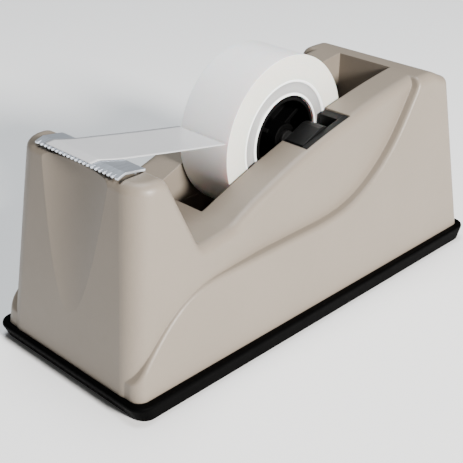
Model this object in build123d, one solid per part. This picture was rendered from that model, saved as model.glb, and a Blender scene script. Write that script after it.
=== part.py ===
from build123d import *
import math
import os

# Desk tape dispenser for 19 mm tape on a 25 mm core.
# Frame: +X towards the rear (the cutting blade is at the -X end), +Z up, y = 0 is the centre plane.
# The origin is the centre of the face that it stands on. All sizes are in millimetres.

# ---------------------------------------------------------------- driving dimensions
base_length = 150.0
base_width = 62.0
base_top = 5.2                # height of the ledge that the shell stands on
base_corner = 4.5
ledge_round = 0.6
pad_thickness = 1.2
pad_proud = 0.4               # how far the pad stands below the base plate

shell_front = -73.5           # outer shell at the ledge
shell_rear = 73.1
shell_half_width = 28.9
front_draft = 0.118           # inward lean per mm of height
rear_draft = 0.155
skirt_draft = 0.095           # the same for the sides of the lower skirt
panel_draft_front = 0.055     # and for the side panels above it, at the blade tower
panel_draft = 0.090           # and behind it
front_corner = 5.6            # upright corners of the shell
rear_corner = 3.2
front_corner_growth = 0.025   # the front corners get rounder per mm of height
step_depth = 3.2              # how far the side panels lie inside the skirt
step_depth_front = 1.7        # the step fades out towards the front
step_fade_front = -53.0       # x where the fading starts and ends
step_fade_rear = -20.0
skirt_front_inset = 0.3       # the skirt fades into the front corners
upper_rear_inset = 0.5        # the upper part stays inside the skirt's rear
loft_top = 75.0
step_round = 1.2
skirt_corner_cut = 2.2        # the skirt's upright corners are sharper by this much
smallest_corner = 0.8
wall = 2.2
front_wall = 4.4              # thicker behind the scoop in the front face
scoop_radius = 45.0
scoop_slope = 0.051           # depth of the scoop per mm above its lowest point
scoop_low_z = 20.0

tower_top = 61.5              # plateau that carries the blade
tower_rear_top = -57.0
valley_z = 38.8               # flat between the blade tower and the roll well
valley_front = -46.6
well_front = -32.5
well_rear = 51.2
rim_front_z = 39.2            # height of the well's edge at its front and at its rear
rim_rear_z = 61.4
rim_round = 3.0
rim_crown = 3.05              # how far the rims bulge above a straight line
tower_round = 3.5
valley_round = 3.0
rim_start_round = 12.0

well_half_width = 10.1
well_lower_half_width = 9.9
well_ledge_z = 32.0
well_floor_z = 16.0

axis_x = 2.6                  # roll axis, along Y
axis_z = 50.8
roll_radius = 24.6
tape_width = 19.05
core_bore_radius = 12.7
core_radius = 17.4

pin_radius = 2.4
pin_half_length = 16.8
running_gap = 0.05
foot_front = 1.5              # flat-sided feet at the ends of the axle
foot_rear = 13.9
foot_low_z = 47.4
foot_gap = 0.1
foot_inner = 9.95             # |y| where the feet begin

notch_front = 0.25
notch_rear = 19.6
notch_outer = 19.3            # |y| of the outer side of the axle cradles
cradle_floor_z = 42.0
socket_wall = 1.6

blade_half_width = 16.4
blade_thickness = 0.6
blade_tang_x = -59.2          # the bent-down tangs that hold the blade
blade_tang_y = 12.5
tang_half_x = 0.3
tang_half_y = 2.0
tang_gap_x = 0.05
tang_gap_y = 0.1
blade_recess_half = 16.8      # step in the tower's top that leaves the teeth free underneath
blade_recess_rear = -58.6
blade_recess_floor = 60.7
tooth_count = 21

screw_places = [(-61.0, -18.5), (-61.0, 18.5), (61.0, -18.5), (61.0, 18.5)]
screw_shank_radius = 1.45
screw_fit = 0.02
screw_head_radius = 3.2
boss_radius = 3.6
boss_top = 22.0
web_half = 0.8                # ribs that hold the bosses to the sides


# ---------------------------------------------------------------- helpers
def along_y(face, y_low, y_high):
    """Solid between two Y values from a face drawn in the plane y = 0."""
    solid = extrude(face, amount=y_high - y_low, dir=(0, 1, 0))
    return Pos(0, y_low, 0) * solid


def box(x_low, x_high, y_low, y_high, z_low, z_high):
    """Box between two corners."""
    from_corner = (Align.MIN, Align.MIN, Align.MIN)
    block = Box(x_high - x_low, y_high - y_low, z_high - z_low, align=from_corner)
    return Pos(x_low, y_low, z_low) * block


def rod_y(radius, y_low, y_high):
    """Cylinder along the roll axis."""
    rod = Cylinder(radius, y_high - y_low, rotation=(90, 0, 0))
    return Pos(axis_x, (y_low + y_high) / 2, axis_z) * rod


def rod_z(x, y, radius, z_low, z_high):
    """Upright cylinder."""
    return Pos(x, y, (z_low + z_high) / 2) * Cylinder(radius, z_high - z_low)


def plate_y(points, y_low, y_high):
    """Straight-sided XZ outline between two Y values."""
    outline = Polyline(*[(x, 0, z) for x, z in points], close=True)
    return along_y(make_face(outline), y_low, y_high)


def rounded_slab(z, x_front, x_rear, half_width, corner):
    """Rounded rectangle at height z."""
    length = x_rear - x_front
    centre = Pos((x_front + x_rear) / 2, 0, z)
    return centre * RectangleRounded(length, 2 * half_width, corner)


def shell_section(z, x_front, x_rear, half_front, half_rear, corner_cuts):
    """Level cut through the shell; its sides draw in between the places where the step fades."""
    fade_a = step_fade_front
    fade_b = step_fade_rear
    lead = (fade_b - fade_a) / 3
    edges = [Line((x_front, half_front, z), (x_front, -half_front, z))]
    for side in (-1, 1):
        front_y = side * half_front
        rear_y = side * half_rear
        edges.append(Line((x_front, front_y, z), (fade_a, front_y, z)))
        front_pair = [(fade_a, front_y, z), (fade_a + lead, front_y, z)]
        rear_pair = [(fade_b - lead, rear_y, z), (fade_b, rear_y, z)]
        edges.append(Bezier(*front_pair, *rear_pair))
        edges.append(Line((fade_b, rear_y, z), (x_rear, rear_y, z)))
    edges.append(Line((x_rear, -half_rear, z), (x_rear, half_rear, z)))
    face = make_face(edges)
    front_radius = front_corner + front_corner_growth * (z - base_top) - corner_cuts[0]
    rear_radius = rear_corner - corner_cuts[1]
    for x, half, radius in ((x_front, half_front, front_radius), (x_rear, half_rear, rear_radius)):
        for side in (-1, 1):
            nearest = face.vertices().sort_by_distance((x, side * half, z))[0]
            face = fillet(nearest, max(radius, smallest_corner))
    return face


def drafted_block(inset_sides, inset_ends, drafts, z_low, z_high, corner_cuts):
    """The shell's leaning block; insets, drafts and cuts are (front, rear) pairs."""
    sections = []
    for z in (z_low, z_high):
        rise = z - base_top
        front = shell_front + inset_ends[0] + front_draft * rise
        rear = shell_rear - inset_ends[1] - rear_draft * rise
        half_front = shell_half_width - inset_sides[0] - drafts[0] * rise
        half_rear = shell_half_width - inset_sides[1] - drafts[1] * rise
        sections.append(shell_section(z, front, rear, half_front, half_rear, corner_cuts))
    return loft(sections, ruled=True)


def round_corners(face, corners):
    """Round the corners of an XZ face that lie at the given x, z with the given radii."""
    for x, z, radius in corners:
        nearest = face.vertices().sort_by_distance((x, 0, z))[0]
        face = fillet(nearest, radius)
    return face


def rim_height(x):
    """Height of the rims' top line at x, on the arc between the well's two ends."""
    half_span = math.hypot(well_rear - well_front, rim_rear_z - rim_front_z) / 2
    radius = (half_span ** 2 + rim_crown ** 2) / (2 * rim_crown)
    slope = math.atan2(rim_rear_z - rim_front_z, well_rear - well_front)
    middle_x = (well_front + well_rear) / 2
    middle_z = (rim_front_z + rim_rear_z) / 2
    centre_x = middle_x + (radius - rim_crown) * math.sin(slope)
    centre_z = middle_z - (radius - rim_crown) * math.cos(slope)
    return centre_z + math.sqrt(radius ** 2 - (x - centre_x) ** 2)


# ---------------------------------------------------------------- shell
def top_profile(lowered=0.0):
    """Side view of everything under the shell's top line: tower, valley, rising rims, rear."""
    front_x = -90.0
    rear_x = 90.0
    bottom_z = -10.0
    shoulder = (57.0, rim_rear_z - 0.1)
    rear_end_z = shoulder[1] - 0.45 * (rear_x - shoulder[0])
    rear_round = 30.0
    shoulder_round = 6.0
    middle_x = (well_front + well_rear) / 2
    slope = math.atan2(rim_rear_z - rim_front_z, well_rear - well_front)
    crown_x = middle_x - rim_crown * math.sin(slope)
    crown_z = (rim_front_z + rim_rear_z) / 2 + rim_crown * math.cos(slope)
    edges = [
        Line((front_x, 0, tower_top), (tower_rear_top, 0, tower_top)),
        Line((tower_rear_top, 0, tower_top), (valley_front, 0, valley_z)),
        Line((valley_front, 0, valley_z), (well_front, 0, rim_front_z)),
        ThreePointArc((well_front, 0, rim_front_z), (crown_x, 0, crown_z), (well_rear, 0, rim_rear_z)),
        Line((well_rear, 0, rim_rear_z), (shoulder[0], 0, shoulder[1])),
        Line((shoulder[0], 0, shoulder[1]), (rear_x, 0, rear_end_z)),
        Line((rear_x, 0, rear_end_z), (rear_x, 0, bottom_z)),
        Line((rear_x, 0, bottom_z), (front_x, 0, bottom_z)),
        Line((front_x, 0, bottom_z), (front_x, 0, tower_top)),
    ]
    face = round_corners(make_face(edges), [
        (tower_rear_top, tower_top, tower_round),
        (valley_front, valley_z, valley_round),
        (well_front, rim_front_z, rim_start_round),
        (well_rear, rim_rear_z, rear_round),
        (shoulder[0], shoulder[1], shoulder_round),
    ])
    if lowered > 0:
        face = offset(face, amount=-lowered, kind=Kind.INTERSECTION)
    return face


def skirt_profile():
    """Side view of the proud skirt: low at the front, a long shelf, a sweep up to the rear shoulder."""
    start = (-75.0, 0, 6.6)
    finish = (50.5, 0, 66.0)
    rear_x = 90.0
    low_z = -5.0
    curve = Spline(
        start,
        (-70.2, 0, 13.0),
        (-65.0, 0, 18.6),
        (-58.4, 0, 24.2),
        (-50.0, 0, 28.3),
        (-36.0, 0, 29.2),
        (-8.0, 0, 29.3),
        (15.0, 0, 31.3),
        (29.0, 0, 38.3),
        (39.0, 0, 47.2),
        (46.5, 0, 56.4),
        finish,
        tangents=[(1.0, 0, 1.38), (0.28, 0, 1.0)],
    )
    rest = Polyline(finish, (rear_x, 0, finish[2]), (rear_x, 0, low_z), (start[0], 0, low_z), start)
    return make_face([curve, rest])


def round_rims(solid):
    """Round the top edges all the way round: both sides, front and rear, but not the upright corners."""
    chosen = []
    for edge in solid.edges():
        start = edge.position_at(0)
        middle = edge.position_at(0.5)
        end = edge.position_at(1)
        upright = abs(start.Z - end.Z) > 30 and min(abs(start.X), abs(end.X)) > 55
        on_one_side = min(abs(start.Y), abs(end.Y)) > 15 and start.Y * end.Y > 0
        at_an_end = abs(middle.Y) < 1 and abs(middle.X) > 60 and middle.Z > 50
        if middle.Z > 33 and not upright and (on_one_side or at_an_end):
            chosen.append(edge)
    return fillet(chosen, rim_round)


def round_step(solid):
    """Soften the outer edge of the skirt's step on both sides."""
    chosen = []
    for edge in solid.edges():
        start = edge.position_at(0)
        end = edge.position_at(1)
        long_sweep = abs(start.X - end.X) > 90 and abs(start.Z - end.Z) > 25
        if long_sweep and start.Y * end.Y > 0:
            chosen.append(edge)
    return fillet(chosen, step_round)


def shell_outside():
    """The closed outer form: recessed upper part joined to the proud skirt."""
    profile = along_y(top_profile(), -40.0, 40.0)
    panel_insets = (step_depth_front, step_depth)
    panel_drafts = (panel_draft_front, panel_draft)
    skirt_drafts = (skirt_draft, skirt_draft)
    panel_ends = (0.0, upper_rear_inset)
    skirt_ends = (skirt_front_inset, 0.0)
    skirt_cuts = (skirt_corner_cut, 0.0)
    flush = (0.0, 0.0)
    panels = drafted_block(panel_insets, panel_ends, panel_drafts, base_top, loft_top, flush)
    block = drafted_block(flush, skirt_ends, skirt_drafts, base_top, loft_top, skirt_cuts)
    upper = round_rims(panels & profile)
    skirt = round_rims(block & profile)
    skirt = round_step(skirt & along_y(skirt_profile(), -40.0, 40.0))
    return upper + skirt - front_scoop()


def front_scoop():
    """Shallow hollow down the front face under the teeth: a large leaning cylinder."""
    slope = front_draft + scoop_slope
    middle_z = 45.0
    length = 90.0
    deepest_x = shell_front + front_draft * (middle_z - base_top)
    deepest_x += scoop_slope * (middle_z - scoop_low_z)
    reach = scoop_radius * math.sqrt(1 + slope ** 2)
    lean = Rot(0, math.degrees(math.atan(slope)), 0)
    return Pos(deepest_x - reach, 0, middle_z) * (lean * Cylinder(scoop_radius, length))


def well_cut():
    """The space for the roll, open at the top."""
    upper = box(well_front, well_rear, -well_half_width, well_half_width, well_ledge_z, 90.0)
    floor_front = well_front + 1.0
    floor_rear = well_rear - 1.0
    half = well_lower_half_width
    lower = box(floor_front, floor_rear, -half, half, well_floor_z, well_ledge_z)
    return upper + lower


def well_tub():
    """Walls and floor round the well, inside the shell."""
    half = well_half_width + wall
    return box(well_front - wall, well_rear + wall, -half, half, well_floor_z - wall, 90.0)


def cradle_socket(side, grown):
    """Space of one cradle in the rim (side is -1 or +1), made larger by `grown` for the socket round it."""
    inner = well_half_width - 3.0
    outer = notch_outer + grown
    y_low, y_high = sorted((side * inner, side * outer))
    top = 90.0
    return box(notch_front - grown, notch_rear + grown, y_low, y_high, cradle_floor_z - grown, top)


def blade_tang(side, gap_x, gap_y, z_low, z_high):
    """One of the blade's two tangs, or with gaps the slot in the tower that takes it."""
    half_x = tang_half_x + gap_x
    half_y = tang_half_y + gap_y
    y = side * blade_tang_y
    return box(blade_tang_x - half_x, blade_tang_x + half_x, y - half_y, y + half_y, z_low, z_high)


def make_body_shell():
    """Moulded top housing: hollow, with the roll well, two cradle sockets and four screw bosses."""
    outside = shell_outside()
    side_inset = step_depth + wall
    side_insets = (side_inset, side_inset)
    drafts = (panel_draft, panel_draft)
    ends = (front_wall, wall)
    inner_block = drafted_block(side_insets, ends, drafts, base_top - 1.0, loft_top, (wall, wall))
    hollow = inner_block & along_y(top_profile(wall), -40.0, 40.0)
    solid_inside = well_tub()
    for side in (-1, 1):
        solid_inside += cradle_socket(side, socket_wall)
    web_low = base_top + 4.0
    web_end = shell_half_width + 5.0
    for x, y in screw_places:
        solid_inside += rod_z(x, y, boss_radius, base_top, boss_top)
        low, high = sorted((y, math.copysign(web_end, y)))
        solid_inside += box(x - web_half, x + web_half, low, high, web_low, boss_top)
    shell = outside - (hollow - solid_inside)
    shell -= well_cut()
    for side in (-1, 1):
        shell -= cradle_socket(side, 0.0)
    for x, y in screw_places:
        shell -= rod_z(x, y, screw_shank_radius + screw_fit, base_top - 1, boss_top - 2)
    for side in (-1, 1):
        shell -= blade_tang(side, tang_gap_x, tang_gap_y, tower_top - 6.0, tower_top + 5.0)
    half = blade_recess_half
    shell -= box(-90.0, blade_recess_rear, -half, half, blade_recess_floor, 90.0)
    return shell


# ---------------------------------------------------------------- base and weights
def make_base_plate():
    """Moulded base: a ledge all round, a locating lip, screw holes and a recess for the pad."""
    bottom_z = pad_proud
    lean = 2.0
    side_lean = 0.5
    lip_low = base_top - 1.0
    half_length = base_length / 2
    half_width = base_width / 2
    low_length = half_length - lean
    sections = [
        rounded_slab(bottom_z, -low_length, low_length, half_width - side_lean, base_corner - 1),
        rounded_slab(lip_low, -half_length, half_length, half_width, base_corner),
        rounded_slab(base_top, -half_length, half_length, half_width, base_corner),
    ]
    plate = loft(sections, ruled=True)
    ledge_edges = plate.edges().filter_by_position(Axis.Z, base_top - 0.01, base_top + 0.01)
    plate = fillet(ledge_edges, ledge_round)
    lip_gap = 0.25
    lip_top = base_top + 2.6
    lip_thickness = 1.3
    inset = wall + step_depth + lip_gap
    end_gap = lip_gap + 0.4
    ends = (front_wall + end_gap, wall + end_gap)
    drafts = (panel_draft, panel_draft)
    cuts = (wall, wall)
    outer_lip = drafted_block((inset, inset), ends, drafts, base_top, lip_top, cuts)
    inset += lip_thickness
    ends = (ends[0] + lip_thickness, ends[1] + lip_thickness)
    inner_lip = drafted_block((inset, inset), ends, drafts, base_top, lip_top, cuts)
    lip = outer_lip - inner_lip
    for x, y in screw_places:
        lip -= rod_z(x, y, boss_radius + 0.6, base_top - 1, lip_top + 1)
        low, high = sorted((y, math.copysign(base_width, y)))
        web_slot = web_half + 0.5
        lip -= box(x - web_slot, x + web_slot, low, high, base_top - 1, lip_top + 1)
    plate += lip
    plate -= pad_outline(pad_proud - 1, pad_thickness, 0.15)
    head_depth = 2.2
    for x, y in screw_places:
        plate -= rod_z(x, y, screw_shank_radius + 0.25, 0, base_top + 1)
        plate -= rod_z(x, y, screw_head_radius + 0.3, 0, pad_thickness + head_depth)
    return plate


def pad_outline(z_low, z_high, grown):
    """Rounded rectangle of the pad as a slab."""
    inset = 6.0
    length = base_length - 2 * inset + 2 * grown
    width = base_width - 2 * inset + 2 * grown
    face = Pos(0, 0, z_low) * RectangleRounded(length, width, 4.0)
    return extrude(face, amount=z_high - z_low)


def make_non_slip_pad():
    """Rubber sheet glued under the base; the dispenser stands on it."""
    pad = pad_outline(0, pad_thickness, 0.0)
    groove_step = 6.0
    groove_count = 21
    for index in range(groove_count):
        x = (index - (groove_count - 1) / 2) * groove_step
        pad -= box(x - 0.5, x + 0.5, -22.0, 22.0, -1.0, 0.3)
    return pad


def make_base_screws():
    """Four pan-head tapping screws driven up into the shell's bosses."""
    screws = []
    head_low = pad_thickness + 0.2
    head_high = pad_thickness + 2.2
    tip_z = 17.0
    for x, y in screw_places:
        head = rod_z(x, y, screw_head_radius, head_low, head_high)
        head = fillet(head.edges().filter_by_position(Axis.Z, head_low - 0.01, head_low + 0.01), 0.8)
        shank = rod_z(x, y, screw_shank_radius, head_high, tip_z)
        shank = chamfer(shank.edges().filter_by_position(Axis.Z, tip_z - 0.01, tip_z + 0.01), 0.9)
        screw = head + shank
        screw -= box(x - 2.0, x + 2.0, y - 0.35, y + 0.35, head_low - 1, head_low + 1.1)
        screw -= box(x - 0.35, x + 0.35, y - 2.0, y + 2.0, head_low - 1, head_low + 1.1)
        screws.append(screw)
    return Compound(children=screws)


def make_ballast_front():
    """Iron weight in the hollow of the blade tower."""
    weight = box(-56.0, -37.0, -20.0, 20.0, base_top, 31.0)
    return chamfer(weight.edges().filter_by(Axis.Z), 2.0)


def make_ballast_floor():
    """Flat iron weight under the well."""
    weight = box(-35.0, 50.0, -18.0, 18.0, base_top, well_floor_z - wall)
    return chamfer(weight.edges().filter_by(Axis.Z), 3.0)


def make_ballast_rear():
    """Iron weight behind the well."""
    weight = box(54.0, 61.5, -13.0, 13.0, base_top, 46.0)
    return chamfer(weight.edges().filter_by(Axis.Z), 1.2)


# ---------------------------------------------------------------- axle cradles
def make_cradle(side):
    """Black insert in one rim: seat for the axle's foot, a ridge, a pocket, a rear block, an outer wall."""
    gap = 0.06
    front = notch_front + gap
    rear = notch_rear - gap
    floor = cradle_floor_z
    inner = well_half_width + 0.05
    wall_inner = 17.0
    outer = notch_outer - gap
    below_rim = 0.35
    front_top = rim_height(front) - below_rim
    seat_front = foot_front - foot_gap
    seat_rear = foot_rear + foot_gap
    seat_z = foot_low_z - foot_gap
    ridge_rear = 14.8
    ridge_top = 50.0
    pocket_rear = 16.9
    pocket_floor = 45.0
    rear_top = rim_height(rear) - 0.5

    outline = [
        (front, floor),
        (rear, floor),
        (rear, rear_top),
        (pocket_rear, rear_top - 0.7),
        (pocket_rear, pocket_floor),
        (ridge_rear, pocket_floor),
        (ridge_rear, ridge_top),
        (seat_rear, ridge_top),
        (seat_rear, seat_z),
        (seat_front, seat_z),
        (seat_front, front_top),
        (front, front_top),
    ]
    inside = plate_y(outline, inner, wall_inner)
    skin = along_y(top_profile(), wall_inner, outer)
    outer_wall = box(front, rear, wall_inner, outer, floor, 90.0) & (Pos(0, 0, -below_rim) * skin)
    block = inside + outer_wall
    return block if side > 0 else mirror(block, about=Plane.XZ)


# ---------------------------------------------------------------- blade
def blade_section():
    """Side view of the sheet: flat, rising a little to a crease, then a short lip bent down."""
    rear = (-57.7, 62.15)
    crease = (-63.9, 63.05)
    tip = (-66.5, 62.25)
    tip_lean = 0.15
    top = [rear, crease, tip]
    bottom = [(tip[0] + tip_lean, tip[1]), crease, rear]
    return top + [(x, z - blade_thickness) for x, z in bottom]


def make_cutter_blade():
    """Stamped steel blade with a row of teeth along its front lip and two tangs pressed into the tower."""
    blade = plate_y(blade_section(), -blade_half_width, blade_half_width)
    pitch = 2 * blade_half_width / tooth_count
    ahead_x = -67.5
    root_x = -65.35
    half_gap = pitch * 0.62
    for index in range(tooth_count - 1):
        y = -blade_half_width + (index + 1) * pitch
        gap = Polyline((ahead_x, y - half_gap), (ahead_x, y + half_gap), (root_x, y), close=True)
        blade -= extrude(Pos(0, 0, tower_top - 1.5) * make_face(gap), amount=5.0)
    for side in (-1, 1):
        blade += blade_tang(side, 0.0, 0.0, tower_top - 4.0, 62.0)
    return blade


# ---------------------------------------------------------------- spindle and roll
def make_axle_pin():
    """Round pin that the hub turns on, with a flat-sided foot at each end that drops into a cradle."""
    outline = [
        (foot_front, foot_low_z),
        (foot_rear, foot_low_z),
        (foot_rear, 51.8),
        (13.2, 53.1),
        (12.0, 53.9),
        (10.4, 54.25),
        (8.9, 54.15),
        (foot_front, rim_height(foot_front) - 0.35),
    ]
    axle = rod_y(pin_radius, -foot_inner, foot_inner)
    axle += plate_y(outline, foot_inner, pin_half_length)
    axle += plate_y(outline, -pin_half_length, -foot_inner)
    return axle


def make_hub():
    """Drum that carries the core: stepped collars, open cups, a middle web, a boss and ribs."""
    drum_half = 8.0
    collar_half = 9.2
    drum_radius = core_bore_radius - 0.08
    collar_radius = drum_radius - 0.5
    cup_radius = 11.2
    middle_half = 1.2
    boss_outer = 4.2
    boss_half = 8.9
    rib_half = 5.5
    hub = rod_y(drum_radius, -drum_half, drum_half) + rod_y(collar_radius, -collar_half, collar_half)
    hub -= rod_y(cup_radius, middle_half, 20.0)
    hub -= rod_y(cup_radius, -20.0, -middle_half)
    hub += rod_y(boss_outer, -boss_half, boss_half)
    rib_count = 3
    rib_thick = 0.6
    for index in range(rib_count):
        rib = box(0, cup_radius + 0.3, -rib_half, rib_half, -rib_thick, rib_thick)
        angle = 90 + index * 360 / rib_count
        hub += Pos(axis_x, 0, axis_z) * (Rot(0, angle, 0) * rib)
    hub -= rod_y(pin_radius + running_gap, -20.0, 20.0)
    return hub


def make_ring(inner, outer, half_width, edge_round):
    """Plain ring about the roll axis with softened rims."""
    ring = rod_y(outer, -half_width, half_width) - rod_y(inner, -half_width - 1, half_width + 1)
    return chamfer(ring.edges().filter_by(GeomType.CIRCLE), edge_round)


def make_tape_core():
    """Moulded core that the tape is wound on."""
    return make_ring(core_bore_radius, core_radius, tape_width / 2, 0.3)


def make_tape_winding():
    """The wound tape."""
    return make_ring(core_radius + 0.02, roll_radius, tape_width / 2, 0.1)


def make_tape_strip():
    """Free end of the tape: from where it peels off the roll to the teeth, lying on the blade."""
    thick = 0.12
    lift = 0.08
    over_blade = [(-66.1, 62.40 + lift), (-63.9, 63.05 + lift), (-57.7, 62.20 + lift)]
    peel = (-22.4, 55.9)
    top = over_blade + [peel]
    outline = top + [(x, z + thick) for x, z in reversed(top)]
    return plate_y(outline, -tape_width / 2, tape_width / 2)


# ---------------------------------------------------------------- output
def build_all():
    """Every piece by name."""
    return {
        "body_shell": make_body_shell(),
        "base_plate": make_base_plate(),
        "non_slip_pad": make_non_slip_pad(),
        "base_screws": make_base_screws(),
        "ballast_front": make_ballast_front(),
        "ballast_floor": make_ballast_floor(),
        "ballast_rear": make_ballast_rear(),
        "cradle_near": make_cradle(-1),
        "cradle_far": make_cradle(1),
        "cutter_blade": make_cutter_blade(),
        "axle_pin": make_axle_pin(),
        "hub_drum": make_hub(),
        "tape_core": make_tape_core(),
        "tape_winding": make_tape_winding(),
        "tape_strip": make_tape_strip(),
    }


os.makedirs("parts", exist_ok=True)
for name, piece in build_all().items():
    export_step(piece, f"parts/{name}.step")
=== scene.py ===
import math
import random

import bmesh
import bpy
from mathutils import Matrix, Vector


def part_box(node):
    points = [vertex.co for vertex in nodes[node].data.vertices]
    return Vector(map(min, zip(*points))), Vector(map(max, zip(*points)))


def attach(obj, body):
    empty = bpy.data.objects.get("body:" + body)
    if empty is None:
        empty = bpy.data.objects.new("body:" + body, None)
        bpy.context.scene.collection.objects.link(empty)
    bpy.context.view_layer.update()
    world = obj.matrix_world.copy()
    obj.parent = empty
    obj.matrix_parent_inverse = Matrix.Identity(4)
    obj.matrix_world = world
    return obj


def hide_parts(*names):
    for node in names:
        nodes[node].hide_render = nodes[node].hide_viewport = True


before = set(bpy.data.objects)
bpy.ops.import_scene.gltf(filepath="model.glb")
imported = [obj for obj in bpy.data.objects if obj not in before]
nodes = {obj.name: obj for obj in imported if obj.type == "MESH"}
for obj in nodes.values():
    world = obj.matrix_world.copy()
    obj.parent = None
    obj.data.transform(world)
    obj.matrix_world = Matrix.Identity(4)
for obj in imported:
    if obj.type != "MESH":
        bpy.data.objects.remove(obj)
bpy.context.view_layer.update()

chance = random.Random(11)

# sockets of a colour Mix node
mix_first = 6
mix_second = 7
mix_result = 2


# ---------------------------------------------------------------- material helpers
class Maker:
    """A procedural material and the nodes it is built from."""

    def __init__(self, name):
        self.material = bpy.data.materials.new(name)
        self.material.use_nodes = True
        self.tree = self.material.node_tree
        self.tree.nodes.clear()
        self.output = self.add("ShaderNodeOutputMaterial")
        self.shader = self.add("ShaderNodeBsdfPrincipled")
        self.link(self.shader.outputs["BSDF"], self.output.inputs["Surface"])
        self.coords = self.add("ShaderNodeTexCoord").outputs["Object"]

    def add(self, kind, **settings):
        """New node of the given kind."""
        node = self.tree.nodes.new(kind)
        for key, value in settings.items():
            setattr(node, key, value)
        return node

    def link(self, source, target):
        """Join two sockets."""
        self.tree.links.new(source, target)

    def stretched(self, scale, location=(0, 0, 0)):
        """Object coordinates scaled and shifted."""
        mapping = self.add("ShaderNodeMapping")
        mapping.inputs["Scale"].default_value = scale
        mapping.inputs["Location"].default_value = location
        self.link(self.coords, mapping.inputs["Vector"])
        return mapping.outputs["Vector"]

    def noise(self, scale, detail=2.0, rough=0.5, vector=None):
        """Noise from 0 to 1, in object coordinates unless a vector is given."""
        node = self.add("ShaderNodeTexNoise")
        node.inputs["Scale"].default_value = scale
        node.inputs["Detail"].default_value = detail
        node.inputs["Roughness"].default_value = rough
        self.link(vector if vector is not None else self.coords, node.inputs["Vector"])
        return node.outputs["Fac"]

    def ramp(self, source, stops):
        """Colours from a 0..1 value; stops are (place, colour) pairs."""
        node = self.add("ShaderNodeValToRGB")
        elements = node.color_ramp.elements
        while len(elements) < len(stops):
            elements.new(0.5)
        for element, (place, colour) in zip(elements, stops):
            element.position = place
            element.color = (*colour, 1.0)
        self.link(source, node.inputs["Fac"])
        return node.outputs["Color"]

    def spread(self, source, low, high, from_low=0.0, from_high=1.0):
        """A value moved from one range to another."""
        node = self.add("ShaderNodeMapRange")
        node.inputs["From Min"].default_value = from_low
        node.inputs["From Max"].default_value = from_high
        node.inputs["To Min"].default_value = low
        node.inputs["To Max"].default_value = high
        self.link(source, node.inputs["Value"])
        return node.outputs["Result"]

    def sum_of(self, a, b, weight=1.0):
        """a + weight * b."""
        total = self.add("ShaderNodeMath", operation="MULTIPLY_ADD")
        self.link(b, total.inputs[0])
        total.inputs[1].default_value = weight
        self.link(a, total.inputs[2])
        return total.outputs["Value"]

    def mix(self, factor, first, second):
        """Blend of two colours."""
        node = self.add("ShaderNodeMix", data_type="RGBA")
        self.link(factor, node.inputs["Factor"])
        self.link(first, node.inputs[mix_first])
        self.link(second, node.inputs[mix_second])
        return node.outputs[mix_result]

    def bump(self, height, depth, strength=1.0, soft_edge=0.0):
        """Bump of the given depth in metres, on top of edges rounded in the shading."""
        node = self.add("ShaderNodeBump")
        node.inputs["Strength"].default_value = strength
        node.inputs["Distance"].default_value = depth
        self.link(height, node.inputs["Height"])
        if soft_edge > 0:
            bevel = self.add("ShaderNodeBevel", samples=6)
            bevel.inputs["Radius"].default_value = soft_edge
            self.link(bevel.outputs["Normal"], node.inputs["Normal"])
        self.link(node.outputs["Normal"], self.shader.inputs["Normal"])

    def set(self, **values):
        """Constant values straight on the shader's sockets."""
        for key, value in values.items():
            self.shader.inputs[key.replace("_", " ")].default_value = value

    def feed(self, name, source):
        """Drive one of the shader's sockets."""
        self.link(source, self.shader.inputs[name])


def grey(value, warm=0.0):
    """Neutral colour, a little warmer or (negative) cooler."""
    return (value * (1 + warm), value, value * (1 - warm))


def scaled(colour, factor):
    """Colour made lighter or darker."""
    return tuple(c * factor for c in colour)


# ---------------------------------------------------------------- materials
def shell_plastic():
    """Warm beige-grey moulded plastic with a fine grain and a faint cloudiness."""
    m = Maker("shell_plastic_look")
    beige = (0.200, 0.168, 0.133)
    cloud = m.noise(28.0, 3.0, 0.55)
    fine = m.noise(900.0, 2.0, 0.6)
    mixed = m.sum_of(cloud, fine, 0.25)
    m.feed("Base Color", m.ramp(mixed, [(0.40, scaled(beige, 0.955)), (0.85, scaled(beige, 1.035))]))
    m.feed("Roughness", m.spread(m.noise(340.0, 3.0, 0.6), 0.38, 0.50))
    grain = m.sum_of(m.noise(2600.0, 2.0, 0.6), m.noise(190.0, 1.0, 0.5), 0.35)
    m.bump(grain, 0.00006, 0.55, 0.0005)
    m.set(Specular_IOR_Level=0.44)
    return m.material


def black_plastic(name, level, rough_low, rough_high, grain_scale, gloss):
    """Black moulded plastic."""
    m = Maker(name)
    tone = m.sum_of(m.noise(120.0, 2.0, 0.5), m.noise(1500.0, 2.0, 0.5), 0.4)
    m.feed("Base Color", m.ramp(tone, [(0.35, grey(level * 0.75)), (0.95, grey(level * 1.35))]))
    m.feed("Roughness", m.spread(m.noise(420.0, 3.0, 0.6), rough_low, rough_high))
    m.bump(m.noise(grain_scale, 2.0, 0.6), 0.00004, 0.5, 0.0003)
    m.set(Specular_IOR_Level=gloss)
    return m.material


def pad_rubber():
    """Dull dark rubber with a pebbled surface."""
    m = Maker("pad_rubber_look")
    m.feed("Base Color", m.ramp(m.noise(600.0, 4.0, 0.7), [(0.3, grey(0.018)), (0.8, grey(0.038))]))
    m.feed("Roughness", m.spread(m.noise(900.0, 2.0, 0.6), 0.75, 0.92))
    m.bump(m.noise(3200.0, 3.0, 0.7), 0.0001, 0.7)
    return m.material


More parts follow.
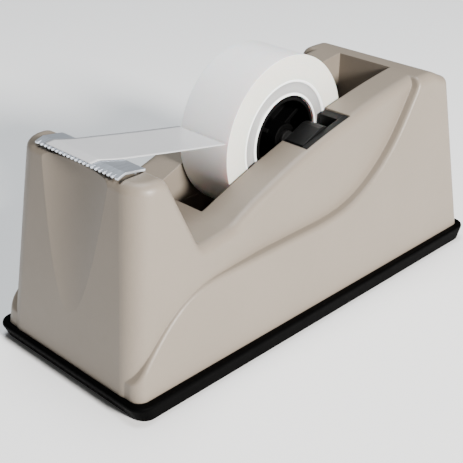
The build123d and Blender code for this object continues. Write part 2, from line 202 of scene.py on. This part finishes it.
def steel(name, colour, rough_low, rough_high, along, metallic=1.0):
    """Rolled or turned steel with fine streaks; along is the scale triple that draws the streaks out."""
    m = Maker(name)
    streaks = m.noise(1.0, 4.0, 0.65, m.stretched(along))
    m.feed("Base Color", m.ramp(streaks, [(0.25, scaled(colour, 0.86)), (0.8, scaled(colour, 1.08))]))
    m.feed("Roughness", m.spread(streaks, rough_low, rough_high))
    m.bump(streaks, 0.000015, 0.5, 0.00012)
    m.set(Metallic=metallic)
    return m.material


def cast_iron():
    """Rough dark iron of the weights."""
    m = Maker("ballast_iron_look")
    m.feed("Base Color", m.ramp(m.noise(160.0, 5.0, 0.7), [(0.3, grey(0.05)), (0.7, grey(0.11, 0.08))]))
    m.feed("Roughness", m.spread(m.noise(500.0, 3.0, 0.6), 0.6, 0.85))
    m.bump(m.noise(800.0, 5.0, 0.7), 0.0003, 0.8)
    m.set(Metallic=0.6)
    return m.material


def radius_from_axis(m, axis_x, axis_z):
    """Distance of each point from the roll's axis, in metres."""
    moved = m.stretched((1, 0, 1), (-axis_x, 0, -axis_z))
    length = m.add("ShaderNodeVectorMath", operation="LENGTH")
    m.link(moved, length.inputs[0])
    return length.outputs["Value"]


def tape_film(name, colour, side_colour, axis_x, axis_z, layers):
    """Whitish film; layers adds the fine rings and the tone of the wound edge."""
    m = Maker(name)
    cloud = m.noise(60.0, 3.0, 0.55)
    fine = m.noise(700.0, 2.0, 0.5)
    mixed = m.sum_of(cloud, fine, 0.18)
    if layers:
        ring = m.add("ShaderNodeTexNoise", noise_dimensions="1D")
        ring.inputs["Scale"].default_value = 1.0
        ring.inputs["Detail"].default_value = 3.0
        m.link(m.spread(radius_from_axis(m, axis_x, axis_z), 0.0, 62.0, 0.0, 0.02), ring.inputs["W"])
        rings = ring.outputs["Fac"]
        mixed = m.sum_of(mixed, rings, 0.25)
        facing = m.add("ShaderNodeNewGeometry").outputs["Normal"]
        split = m.add("ShaderNodeSeparateXYZ")
        m.link(facing, split.inputs["Vector"])
        flat = m.add("ShaderNodeMath", operation="ABSOLUTE")
        m.link(split.outputs["Y"], flat.inputs[0])
        tread = m.ramp(mixed, [(0.40, scaled(colour, 0.95)), (0.90, scaled(colour, 1.03))])
        edge = m.ramp(mixed, [(0.40, scaled(side_colour, 0.95)), (0.90, scaled(side_colour, 1.04))])
        on_edge = m.spread(flat.outputs["Value"], 0.0, 1.0, 0.6, 0.8)
        m.feed("Base Color", m.mix(on_edge, tread, edge))
        m.bump(rings, 0.00008, 0.35)
    else:
        m.feed("Base Color", m.ramp(mixed, [(0.35, scaled(colour, 0.96)), (0.85, scaled(colour, 1.02))]))
        m.bump(mixed, 0.00003, 0.3)
    m.feed("Roughness", m.spread(fine, 0.30, 0.42))
    m.set(Subsurface_Weight=0.25 if layers else 0.0, Subsurface_Scale=0.004)
    m.set(Coat_Weight=0.12, Coat_Roughness=0.25)
    return m.material


def core_plastic(axis_x, axis_z, lip_places):
    """Grey face between two white lips; lip_places are the radii where the lips meet the face."""
    m = Maker("core_plastic_look")
    fade = 0.0002
    mixed = m.sum_of(m.noise(90.0, 3.0, 0.5), m.noise(1300.0, 2.0, 0.5), 0.2)
    face = m.ramp(mixed, [(0.35, grey(0.27)), (0.9, grey(0.34))])
    lips = m.ramp(mixed, [(0.35, grey(0.88)), (0.9, grey(0.94))])
    place = radius_from_axis(m, axis_x, axis_z)
    inner_lip = m.spread(place, 1.0, 0.0, lip_places[0], lip_places[0] + fade)
    outer_lip = m.spread(place, 0.0, 1.0, lip_places[1] - fade, lip_places[1])
    either = m.add("ShaderNodeMath", operation="MAXIMUM")
    m.link(inner_lip, either.inputs[0])
    m.link(outer_lip, either.inputs[1])
    m.feed("Base Color", m.mix(either.outputs["Value"], face, lips))
    m.feed("Roughness", m.spread(m.noise(500.0, 2.0, 0.5), 0.28, 0.40))
    m.bump(m.noise(1500.0, 2.0, 0.5), 0.00002, 0.4, 0.0002)
    m.set(Subsurface_Weight=0.15, Subsurface_Scale=0.002)
    return m.material


def floor_paint():
    """Plain pale floor."""
    m = Maker("floor_look")
    m.feed("Base Color", m.ramp(m.noise(6.0, 2.0, 0.5), [(0.3, grey(0.93)), (0.7, grey(0.95))]))
    m.feed("Roughness", m.spread(m.noise(40.0, 2.0, 0.5), 0.75, 0.85))
    m.set(Specular_IOR_Level=0.1)
    return m.material


# ---------------------------------------------------------------- mesh helpers
def new_object(name, bm, material, smooth_degrees=35.0):
    """Object from a bmesh, smooth but for the edges sharper than the angle."""
    bmesh.ops.recalc_face_normals(bm, faces=bm.faces)
    mesh = bpy.data.meshes.new(name)
    bm.to_mesh(mesh)
    bm.free()
    obj = bpy.data.objects.new(name, mesh)
    bpy.context.scene.collection.objects.link(obj)
    for polygon in mesh.polygons:
        polygon.use_smooth = True
    mesh.set_sharp_from_angle(angle=math.radians(smooth_degrees))
    mesh.materials.append(material)
    return obj


def lathe_y(name, profile, centre_x, centre_z, segments, material, smooth_degrees=35.0):
    """Ring swept round the roll axis from a closed (radius, y) outline."""
    bm = bmesh.new()
    rows = []
    for step in range(segments):
        angle = 2 * math.pi * step / segments
        row = []
        for radius, y in profile:
            x = centre_x + radius * math.cos(angle)
            z = centre_z + radius * math.sin(angle)
            row.append(bm.verts.new((x, y, z)))
        rows.append(row)
    count = len(profile)
    for step in range(segments):
        here = rows[step]
        there = rows[(step + 1) % segments]
        for i in range(count):
            j = (i + 1) % count
            bm.faces.new((here[i], here[j], there[j], there[i]))
    return new_object(name, bm, material, smooth_degrees)


# ---------------------------------------------------------------- places taken from the frame
winding_low, winding_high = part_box("tape_winding")
core_low, core_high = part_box("tape_core")
hub_low, hub_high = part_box("hub_drum")
hub_fit = 0.00008
strip_low, strip_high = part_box("tape_strip")
blade_low, blade_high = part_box("cutter_blade")
axis_x = (winding_low.x + winding_high.x) / 2
axis_z = (winding_low.z + winding_high.z) / 2
roll_radius = (winding_high.x - winding_low.x) / 2
core_radius = (core_high.x - core_low.x) / 2
bore_radius = (hub_high.x - hub_low.x) / 2 + hub_fit
half_tape = winding_high.y
core_lip = 0.0007


# ---------------------------------------------------------------- roll
def make_winding(material):
    """Wound tape: its sides are many turns that don't line up perfectly."""
    turns = 34
    segments = 224
    sharp_degrees = 30.0
    core_gap = 0.00002
    least_sunk = 0.00002
    uneven = 0.00004
    rim_in = 0.00006
    rim_sunk = 0.00010
    tread_sunk = 0.0002
    inner = core_radius + core_gap
    step = (roll_radius - inner) / turns
    outline = []
    for side in (1, -1):
        points = []
        for turn in range(turns + 1):
            offset = half_tape - least_sunk - chance.uniform(0.0, uneven)
            points.append((inner + step * turn, side * offset))
        points[-1] = (roll_radius - rim_in, side * (half_tape - rim_sunk))
        points.append((roll_radius, side * (half_tape - tread_sunk)))
        outline += points[::side]
    return lathe_y("tape_roll_winding", outline, axis_x, axis_z, segments, material, sharp_degrees)


def make_core(material):
    """Core with a raised lip at its outer and inner edge and a shallow face between them."""
    segments = 192
    sharp_degrees = 40.0
    groove = 0.0006
    soft = 0.00016
    slope = 0.0002
    half = [
        (0.0, soft),
        (soft, 0.0),
        (core_lip - soft, 0.0),
        (core_lip, soft),
        (core_lip + slope, groove - soft),
        (core_lip + 2 * slope, groove),
    ]
    side = [(bore_radius + reach, half_tape - sunk) for reach, sunk in half]
    side += [(core_radius - reach, half_tape - sunk) for reach, sunk in reversed(half)]
    outline = side + [(radius, -y) for radius, y in reversed(side)]
    return lathe_y("tape_roll_core", outline, axis_x, axis_z, segments, material, sharp_degrees)


# ---------------------------------------------------------------- free end of the tape
def make_strip(material):
    """Film from the teeth over the blade's fold, then a long span with a little slack to the roll."""
    thickness = 0.00006
    lip_length = 0.0026
    lip_drop = 0.00065
    blade_drop = 0.00085
    slack = 0.00012
    peel_reach = 0.0002
    crease_z = strip_high.z - thickness
    tip = (strip_low.x, crease_z - lip_drop)
    crease = (blade_low.x + lip_length, crease_z)
    span_start = (blade_high.x, crease_z - blade_drop)
    peel = (strip_high.x + peel_reach, strip_low.z + thickness)
    stretches = ((tip, crease, 6, 0.0), (crease, span_start, 8, 0.0), (span_start, peel, 48, slack))
    columns = []
    for start, end, steps, sag in stretches:
        for i in range(steps):
            t = i / steps
            x = start[0] + (end[0] - start[0]) * t
            z = start[1] + (end[1] - start[1]) * t - sag * math.sin(math.pi * t)
            columns.append((x, z))
    columns.append(peel)
    across = 16
    curl_depth = 0.00005
    curl_start_x = blade_high.x + 0.004
    skew_at_blade = 0.0007
    skew_at_teeth = 0.0030
    skew_power = 1.3
    bm = bmesh.new()
    grid = []
    for x, z in columns:
        row = []
        along_span = min(1.0, max(0.0, (peel[0] - x) / (peel[0] - blade_high.x)))
        over_blade = max(0.0, (blade_high.x - x) / (blade_high.x - strip_low.x))
        drift = skew_at_blade * along_span + skew_at_teeth * over_blade ** skew_power
        for j in range(across + 1):
            s = 2 * j / across - 1
            curl = curl_depth * s * s if x > curl_start_x else 0.0
            row.append(bm.verts.new((x, s * strip_high.y + drift, z + curl)))
        grid.append(row)
    for i in range(len(grid) - 1):
        for j in range(across):
            bm.faces.new((grid[i][j], grid[i][j + 1], grid[i + 1][j + 1], grid[i + 1][j]))
    strip = new_object("tape_free_end", bm, material, 60.0)
    solid = strip.modifiers.new("thickness", "SOLIDIFY")
    solid.thickness = thickness
    solid.offset = 1.0
    return strip


# ---------------------------------------------------------------- build
looks = {
    "body_shell": shell_plastic(),
    "base_plate": black_plastic("base_plastic_look", 0.0006, 0.50, 0.64, 1900.0, 0.02),
    "non_slip_pad": pad_rubber(),
    "base_screws": steel("screw_steel_look", (0.55, 0.55, 0.56), 0.25, 0.40, (900, 900, 60)),
    "ballast_front": cast_iron(),
    "cradle_near": black_plastic("cradle_plastic_look", 0.0040, 0.40, 0.54, 1600.0, 0.16),
    "cutter_blade": steel("blade_steel_look", (0.72, 0.77, 0.85), 0.26, 0.42, (70, 2600, 900), 0.85),
    "axle_pin": black_plastic("pin_plastic_look", 0.0050, 0.40, 0.52, 2400.0, 0.16),
    "hub_drum": black_plastic("hub_plastic_look", 0.0010, 0.40, 0.52, 2000.0, 0.07),
}
looks["ballast_floor"] = looks["ballast_front"]
looks["ballast_rear"] = looks["ballast_front"]
looks["cradle_far"] = looks["cradle_near"]

core_lips = (bore_radius + core_lip, core_radius - core_lip)
film = (0.92, 0.92, 0.93)
film_side = (0.62, 0.61, 0.555)
film_strip = (0.52, 0.52, 0.53)
looks["tape_winding"] = tape_film("tape_roll_look", film, film_side, axis_x, axis_z, True)
looks["tape_strip"] = tape_film("tape_strip_look", film_strip, film_side, axis_x, axis_z, False)
looks["tape_core"] = core_plastic(axis_x, axis_z, core_lips)

for name, obj in nodes.items():
    obj.data.materials.clear()
    obj.data.materials.append(looks[name])

winding = make_winding(looks["tape_winding"])
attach(winding, "roll")
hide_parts("tape_winding")

core = make_core(looks["tape_core"])
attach(core, "roll")
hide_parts("tape_core")

strip = make_strip(looks["tape_strip"])
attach(strip, "spindle")
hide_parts("tape_strip")


# ---------------------------------------------------------------- floor, light and camera
def make_floor():
    """Flat square just under the object."""
    bm = bmesh.new()
    half = 3.0
    below = -0.0001
    corners = ((-half, -half), (half, -half), (half, half), (-half, half))
    bm.faces.new([bm.verts.new((x, y, below)) for x, y in corners])
    floor = new_object("floor", bm, floor_paint())


def area_light(name, place, size, power, colour):
    """Soft round light aimed at the object."""
    data = bpy.data.lights.new(name, "AREA")
    data.shape = "DISK"
    data.size = size
    data.energy = power
    data.color = colour
    light = bpy.data.objects.new(name, data)
    bpy.context.scene.collection.objects.link(light)
    light.location = place
    light.rotation_euler = (aim - Vector(place)).to_track_quat("-Z", "Y").to_euler()


make_floor()
aim = Vector((0, 0, 0.03))
area_light("key", (-0.10, -1.0, 0.46), 0.22, 37.0, (1.0, 0.972, 0.935))
area_light("top", (0.15, 0.15, 1.3), 0.7, 17.0, (0.91, 0.96, 1.0))

world = bpy.data.worlds.new("studio")
bpy.context.scene.world = world
world.use_nodes = True
background = world.node_tree.nodes["Background"]
background.inputs["Color"].default_value = (1, 1, 1, 1)
background.inputs["Strength"].default_value = 0.13

azimuth = math.radians(-46.249)
elevation = math.radians(27.624)
roll = math.radians(0.747)
back = Vector((
    math.sin(azimuth) * math.cos(elevation),
    -math.cos(azimuth) * math.cos(elevation),
    math.sin(elevation),
))
right = Vector((0, 0, 1)).cross(back).normalized()
up = back.cross(right)
camera_right = math.cos(roll) * right + math.sin(roll) * up
camera_up = -math.sin(roll) * right + math.cos(roll) * up
camera_place = (-0.20344, -0.18521, 0.16137)
camera_data = bpy.data.cameras.new("camera")
camera_data.lens = 77.63
camera_data.sensor_width = 36.0
camera_data.clip_start = 0.01
camera_data.clip_end = 20.0
camera = bpy.data.objects.new("camera", camera_data)
bpy.context.scene.collection.objects.link(camera)
turn = Matrix((camera_right, camera_up, back)).transposed().to_4x4()
camera.matrix_world = Matrix.Translation(camera_place) @ turn
bpy.context.scene.camera = camera
